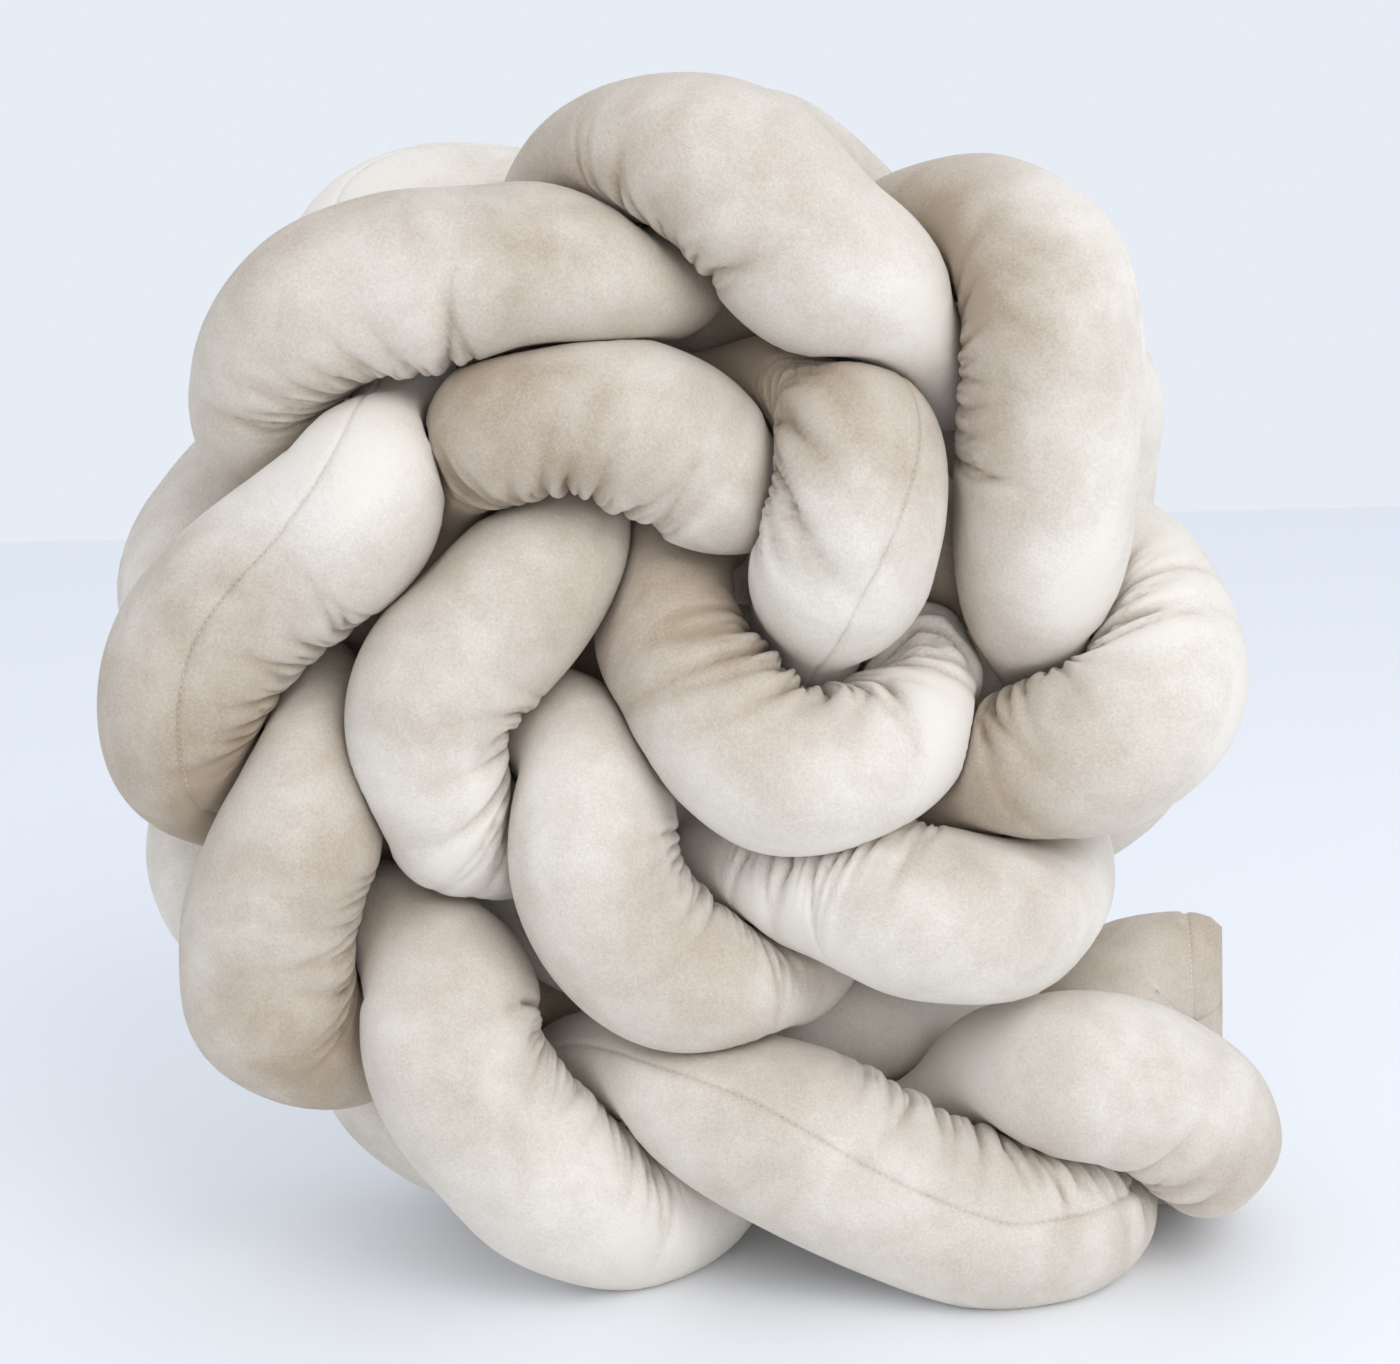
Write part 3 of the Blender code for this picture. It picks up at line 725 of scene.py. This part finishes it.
def velvetMaterial():
    material = bpy.data.materials.new("velvet")
    material.use_nodes = True
    nodes, links = material.node_tree.nodes, material.node_tree.links
    shader = nodes["Principled BSDF"]
    place = nodes.new("ShaderNodeTexCoord").outputs["Object"]

    def noise(scale, detail, roughness, distortion):
        node = nodes.new("ShaderNodeTexNoise")
        node.inputs["Scale"].default_value = scale
        node.inputs["Detail"].default_value = detail
        node.inputs["Roughness"].default_value = roughness
        node.inputs["Distortion"].default_value = distortion
        links.new(place, node.inputs["Vector"])
        return node.outputs["Fac"]

    def changing(value, change):  # from less to more tan, across the range of the noise
        node = nodes.new("ShaderNodeMapRange")
        node.interpolation_type = "SMOOTHSTEP"
        numbers = (*velvet["layerRange"], -change, change)
        for slot, number in zip(("From Min", "From Max", "To Min", "To Max"), numbers):
            node.inputs[slot].default_value = number
        links.new(value, node.inputs["Value"])
        return node.outputs["Result"]

    def added(a, b):
        node = nodes.new("ShaderNodeMath")
        node.operation = "ADD"
        links.new(a, node.inputs[0])
        links.new(b, node.inputs[1])
        return node.outputs["Value"]

    def bumped(height, strength, distance):
        node = nodes.new("ShaderNodeBump")
        node.inputs["Strength"].default_value = strength
        node.inputs["Distance"].default_value = distance
        links.new(height, node.inputs["Height"])
        return node

    # the skin's tone: the nap with its painted light and painted shade
    napAndShade = nodes.new("ShaderNodeAttribute")
    napAndShade.attribute_name = "napAndShade"
    tone = napAndShade.outputs["Fac"]
    for size, change, distortion in velvet["layers"]:
        tone = added(tone, changing(noise(size, *velvet["layerNoise"], distortion), change))
    kept = nodes.new("ShaderNodeMath")   # the tone between 0 and 1
    kept.operation = "MAXIMUM"
    kept.use_clamp = True
    links.new(tone, kept.inputs[0])
    kept.inputs[1].default_value = 0.0
    colour = nodes.new("ShaderNodeMix")
    colour.data_type = "RGBA"
    links.new(kept.outputs["Value"], colour.inputs["Factor"])
    colour.inputs["A"].default_value = (*velvet["pale"], 1.0)
    colour.inputs["B"].default_value = (*velvet["tan"], 1.0)
    links.new(colour.outputs["Result"], shader.inputs["Base Color"])

    brush = bumped(noise(*velvet["brushNoise"]), *velvet["brushBump"])
    pile = bumped(noise(*velvet["grainNoise"]), *velvet["grainBump"])
    links.new(brush.outputs["Normal"], pile.inputs["Normal"])
    links.new(pile.outputs["Normal"], shader.inputs["Normal"])
    shader.inputs["Roughness"].default_value = velvet["roughness"]
    shader.inputs["Specular IOR Level"].default_value = velvet["specular"]
    shader.inputs["Sheen Weight"].default_value = velvet["sheen"]
    shader.inputs["Sheen Roughness"].default_value = velvet["sheenRoughness"]
    shader.inputs["Sheen Tint"].default_value = (*velvet["sheenTint"], 1.0)
    return material


# The tubes' ends are closed by a row of stitches round them, and small ones hold the
# lengthwise seam together down in its groove.
stitches = {
    "endPitch": 0.0026,        # from one stitch to the next
    "endLength": 0.0019,
    "endThickness": 0.00060,
    "seamPitch": 0.0034,
    "seamLength": 0.0020,
    "seamThickness": 0.00030,
    "unevenness": 0.16,        # of the stitches' size
    "sidesRound": 6,           # faces round one stitch
    "sidesAlong": 4,           # and from one of its tips to the other
    "colour": (0.34, 0.27, 0.20),
    "roughness": 0.7,
    "plySize": 2400.0,         # unevenness of the thread, per metre
    "plyBump": (0.5, 0.0001),  # its strength, and its height in metres
    "seed": 7,
}


def threadMaterial():
    material = bpy.data.materials.new("thread")
    material.use_nodes = True
    nodes, links = material.node_tree.nodes, material.node_tree.links
    shader = nodes["Principled BSDF"]
    place = nodes.new("ShaderNodeTexCoord").outputs["Object"]
    ply = nodes.new("ShaderNodeTexNoise")
    ply.inputs["Scale"].default_value = stitches["plySize"]
    links.new(place, ply.inputs["Vector"])
    bump = nodes.new("ShaderNodeBump")
    bump.inputs["Strength"].default_value = stitches["plyBump"][0]
    bump.inputs["Distance"].default_value = stitches["plyBump"][1]
    links.new(ply.outputs["Fac"], bump.inputs["Height"])
    links.new(bump.outputs["Normal"], shader.inputs["Normal"])
    shader.inputs["Base Color"].default_value = (*stitches["colour"], 1.0)
    shader.inputs["Roughness"].default_value = stitches["roughness"]
    return material


def stitchTree(thread):  # stitches lying end to end along whatever edges come in
    tree = bpy.data.node_groups.new("stitches", "GeometryNodeTree")
    sockets = tree.interface
    sockets.new_socket("Seam", in_out="INPUT", socket_type="NodeSocketGeometry")
    for name in ("Pitch", "Length", "Thickness", "Unevenness"):
        sockets.new_socket(name, in_out="INPUT", socket_type="NodeSocketFloat")
    sockets.new_socket("Stitches", in_out="OUTPUT", socket_type="NodeSocketGeometry")
    nodes = tree.nodes
    given = nodes.new("NodeGroupInput")
    line = nodes.new("GeometryNodeMeshToCurve")
    places = nodes.new("GeometryNodeCurveToPoints")
    places.mode = "LENGTH"
    stitch = nodes.new("GeometryNodeMeshUVSphere")
    stitch.inputs["Segments"].default_value = stitches["sidesRound"]
    stitch.inputs["Rings"].default_value = stitches["sidesAlong"]
    stitch.inputs["Radius"].default_value = 0.5   # one across, so that it scales to its size
    size = nodes.new("ShaderNodeCombineXYZ")
    uneven = nodes.new("FunctionNodeRandomValue")
    uneven.data_type = "FLOAT"
    uneven.inputs["Seed"].default_value = stitches["seed"]
    least, most = nodes.new("ShaderNodeMath"), nodes.new("ShaderNodeMath")
    for end, operation in ((least, "SUBTRACT"), (most, "ADD")):
        end.operation = operation
        end.inputs[0].default_value = 1.0
    scale = nodes.new("ShaderNodeVectorMath")
    scale.operation = "SCALE"
    lay = nodes.new("GeometryNodeInstanceOnPoints")
    real = nodes.new("GeometryNodeRealizeInstances")
    finish = nodes.new("GeometryNodeSetMaterial")
    finish.inputs["Material"].default_value = thread
    out = nodes.new("NodeGroupOutput")
    joined = (
        (given, "Seam", line, "Mesh"), (line, "Curve", places, "Curve"),
        (given, "Pitch", places, "Length"), (given, "Thickness", size, "X"),
        (given, "Thickness", size, "Y"), (given, "Length", size, "Z"),
        (given, "Unevenness", least, 1), (given, "Unevenness", most, 1),
        (least, "Value", uneven, 2), (most, "Value", uneven, 3),   # its two ends as numbers
        (size, "Vector", scale, "Vector"), (uneven, 1, scale, "Scale"),
        (places, "Points", lay, "Points"), (stitch, "Mesh", lay, "Instance"),
        (places, "Rotation", lay, "Rotation"), (scale, "Vector", lay, "Scale"),
        (lay, "Instances", real, "Geometry"), (real, "Geometry", finish, "Geometry"),
        (finish, "Geometry", out, "Stitches"),
    )
    for source, result, target, slot in joined:
        tree.links.new(source.outputs[result], target.inputs[slot])
    return tree


def seamLine(name, points, closed):  # a bare line of edges for the stitches to follow
    edges = [(i, i + 1) for i in range(len(points) - 1)]
    if closed:
        edges.append((len(points) - 1, 0))
    mesh = bpy.data.meshes.new(name)
    mesh.from_pydata(points.tolist(), edges, [])
    line = bpy.data.objects.new(name, mesh)
    bpy.context.scene.collection.objects.link(line)
    return line


def sewn(line, tree, kind):  # the stitches along a line, as a plain mesh
    modifier = line.modifiers.new("stitches", "NODES")
    modifier.node_group = tree
    sizes = {name: stitches[kind + name] for name in ("Pitch", "Length", "Thickness")}
    sizes["Unevenness"] = stitches["unevenness"]
    for socket in tree.interface.items_tree:
        if socket.name in sizes:
            modifier[socket.identifier] = sizes[socket.name]
    evaluated = line.evaluated_get(bpy.context.evaluated_depsgraph_get())
    mesh = bpy.data.meshes.new_from_object(evaluated)
    bpy.data.objects.remove(line, do_unlink=True)
    return mesh


def sewTube(tube, points, tree):  # all stitches of one tube, as one piece
    name = tube["name"] + "_stitches"
    at = tube["at"]
    parts = []
    for distance in (at, at[-1] - at):
        ring = points[np.argmin(abs(distance - skin["endSeamAt"]))]
        parts.append(sewn(seamLine(name, ring, True), tree, "end"))
    between = (at > skin["endSeamAt"]) & (at < at[-1] - skin["endSeamAt"])
    parts.append(sewn(seamLine(name, points[between, 0], False), tree, "seam"))
    whole = bmesh.new()
    for part in parts:
        whole.from_mesh(part)
    mesh = bpy.data.meshes.new(name)
    whole.to_mesh(mesh)
    whole.free()
    mesh.materials.append(parts[0].materials[0])
    mesh.shade_smooth()
    piece = bpy.data.objects.new(name, mesh)
    bpy.context.scene.collection.objects.link(piece)
    return piece


print("laying out the three tubes")
axes = makeRoom([tubeAxis(first, before, after) for name, first, before, after, ends in strands])
print("stuffing and gathering them")
tubes = [stuffTube(k, axes) for k in range(len(strands))]
skins = [skinPoints(tube) for tube in tubes]
corners = np.concatenate([points.reshape(-1, 3) for points in skins])
shift = (0.5 * (corners.min(0) + corners.max(0))
         - 0.5 * (np.array(cadBox[0]) + np.array(cadBox[1])))
shift[2] = 0.0
print("the braid moves by", shift.round(4).tolist(), "to stand where its solids stand")
material = velvetMaterial()
tree = stitchTree(threadMaterial())
for tube, points in zip(tubes, skins):
    piece = tubeObject(tube, points - shift, material)
    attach(piece, "root")
    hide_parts(tube["name"])
    print("sewing", tube["name"])
    rows = sewTube(tube, points - shift, tree)
    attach(rows, "root")


studio = {
    "floorSize": 6.0,
    "floorColour": (0.90, 0.92, 0.95),
    "floorRoughness": 0.8,
    "sky": (0.80, 0.845, 0.915),
    "skyStrength": 1.0,
    "lights": (("key", (1.1, -1.7, 1.9), 1.5, 21.0),     # name, place, size and power
               ("fill", (0.1, -1.9, 0.35), 1.0, 3.6)),
    "lightsAim": (0.0, 0.0, 0.25),
    "lightColour": (1.0, 0.985, 0.96),
    "cameraPlace": (0.0, -0.95, 0.467),
    "levelRise": 402,          # from the picture's middle up to eye level, in its pixels
    "lensPixels": 2050,        # the lens in the same pixels
    "cameraRoll": 1.5,         # degrees
    "lens": 52.71,             # millimetres
    "sensorWidth": 36.0,
}


def plainFloor():
    bpy.ops.mesh.primitive_plane_add(size=studio["floorSize"], location=(0, 0, 0))
    floor = bpy.context.object
    floor.name = "floor"
    material = bpy.data.materials.new("floor")
    material.use_nodes = True
    shader = material.node_tree.nodes["Principled BSDF"]
    shader.inputs["Base Color"].default_value = (*studio["floorColour"], 1.0)
    shader.inputs["Roughness"].default_value = studio["floorRoughness"]
    floor.data.materials.append(material)


def softLight():
    world = bpy.data.worlds.new("sky")
    bpy.context.scene.world = world
    world.use_nodes = True
    background = world.node_tree.nodes["Background"]
    background.inputs["Color"].default_value = (*studio["sky"], 1.0)
    background.inputs["Strength"].default_value = studio["skyStrength"]
    for name, place, size, power in studio["lights"]:
        light = bpy.data.lights.new(name, "AREA")
        light.energy = power
        light.size = size
        light.color = studio["lightColour"]
        lamp = bpy.data.objects.new(name, light)
        lamp.location = place
        aim = Vector(studio["lightsAim"]) - Vector(place)
        lamp.rotation_euler = aim.to_track_quat("-Z", "Y").to_euler()
        bpy.context.scene.collection.objects.link(lamp)


def placeCamera():
    camera = bpy.data.objects.new("camera", bpy.data.cameras.new("camera"))
    camera.data.sensor_width = studio["sensorWidth"]
    camera.data.lens = studio["lens"]
    camera.location = Vector(studio["cameraPlace"]) - Vector(shift)
    pitch = math.degrees(math.atan2(studio["levelRise"], studio["lensPixels"]))
    upright = Matrix.Rotation(math.radians(90 - pitch), 3, "X")
    roll = Matrix.Rotation(math.radians(-studio["cameraRoll"]), 3, "Z")
    camera.rotation_euler = (upright @ roll).to_euler()
    bpy.context.scene.collection.objects.link(camera)
    bpy.context.scene.camera = camera


print("setting the floor, the light and the camera")
plainFloor()
softLight()
placeCamera()
bpy.context.scene.view_settings.view_transform = "Standard"
